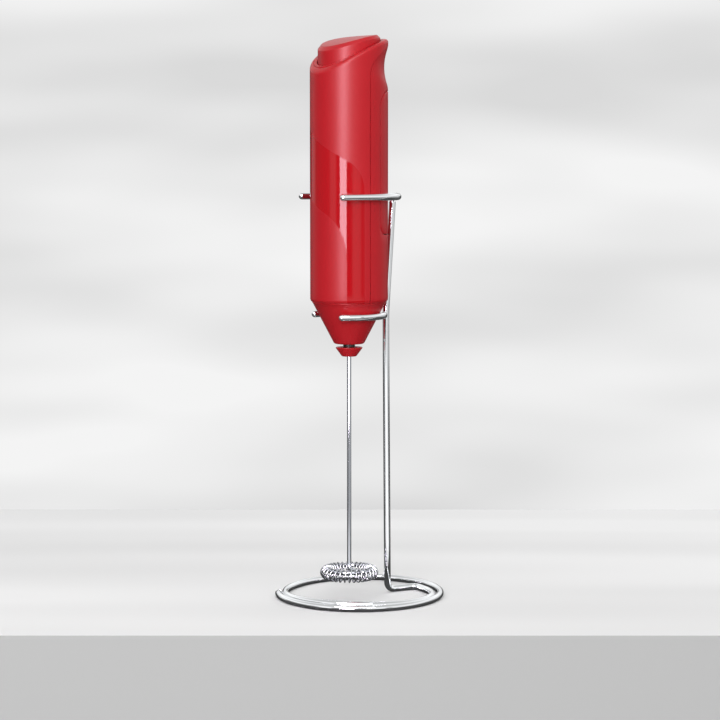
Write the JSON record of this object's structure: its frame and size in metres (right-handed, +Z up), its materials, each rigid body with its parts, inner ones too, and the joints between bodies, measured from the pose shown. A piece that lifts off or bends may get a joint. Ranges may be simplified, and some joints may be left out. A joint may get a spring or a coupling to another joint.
{
  "type": "milk frother",
  "caption": "Battery milk frother with a slanted push button, a spring-ring whisk on a thin rod, and a bent-wire stand with two open clips.",
  "frame": {"origin": "centre of the stand's base ring, on the surface that it stands on", "axes": "+Z up along the frother; -Y is the open side of the clips, +Y is the side of the post"},
  "size_m": [0.0692, 0.0704, 0.2324],
  "materials": {
    "chrome_wire": "polished",
    "red_plastic": "satin with a glossy band",
    "spring_steel": "drawn",
    "natural_plastic": "moulded",
    "contact_brass": "stamped",
    "contact_plate": "nickel plated",
    "cell_jacket": "printed sleeve, unmarked",
    "motor_steel": "drawn",
    "cap_plastic": "moulded",
    "ferrite": "matt",
    "bush_bronze": "sintered",
    "brush_carbon": "matt",
    "shaft_steel": "ground",
    "core_steel": "laminated",
    "copper_wire": "enamelled",
    "commutator_copper": "turned",
    "lead_red": "satin",
    "lead_white": "satin",
    "lead_black": "satin",
    "sleeve_metal": "turned, dark",
    "coil_steel": "bright drawn"
  },
  "bodies": {
    "stand": {"stand_wire": "chrome_wire", "upper_clip": "chrome_wire", "lower_clip": "chrome_wire"},
    "handle": {"front_shell": "red_plastic", "rear_shell": "red_plastic", "button_spring": "spring_steel", "switch_base": "natural_plastic", "switch_leaf": "contact_brass", "switch_contact": "contact_brass", "battery_tray": "natural_plastic", "battery_left": "cell_jacket", "battery_right": "cell_jacket", "upper_contact_plate": "contact_plate", "upper_contact_spring": "spring_steel", "lower_contact_plate": "contact_plate", "lower_contact_spring": "spring_steel", "motor_mount": "natural_plastic", "motor_can": "motor_steel", "motor_end_cap": "cap_plastic", "motor_magnets": "ferrite", "motor_terminals": "contact_brass", "motor_bushes": "bush_bronze", "motor_brushes": "brush_carbon", "lead_wire_red": "lead_red", "lead_wire_white": "lead_white", "lead_wire_black": "lead_black"},
    "battery_door": {"battery_door": "red_plastic"},
    "power_button": {"power_button": "red_plastic"},
    "whisk": {"motor_shaft": "shaft_steel", "armature_core": "core_steel", "armature_windings": "copper_wire", "commutator": "commutator_copper", "drive_sleeve": "sleeve_metal", "coupling": "red_plastic", "whisk_shaft": "shaft_steel", "whisk_coil": "coil_steel"}
  },
  "joints": [
    {"name": "stand_lift", "type": "slide", "parent": "stand", "child": "handle", "axis": [0, 0, 1], "range_m": [0, 0.075]},
    {"name": "button_press", "type": "slide", "parent": "handle", "child": "power_button", "axis": [0, 0, -1], "range_m": [0, 0.0015], "stiffness_N_per_m": 1500, "springref_m": -0.0008, "deforming": ["button_spring", "switch_leaf"]},
    {"name": "whisk_spin", "type": "hinge", "parent": "handle", "child": "whisk", "pos_m": [0, -0.0048, 0.05], "axis": [0, 0, 1], "continuous": true},
    {"name": "battery_door_tilt", "type": "hinge", "parent": "handle", "child": "battery_door", "pos_m": [-0.00236, 0.01011, 0.15115], "axis": [-0.9877, -0.1564, 0], "range_deg": [0, 6]}
  ]
}
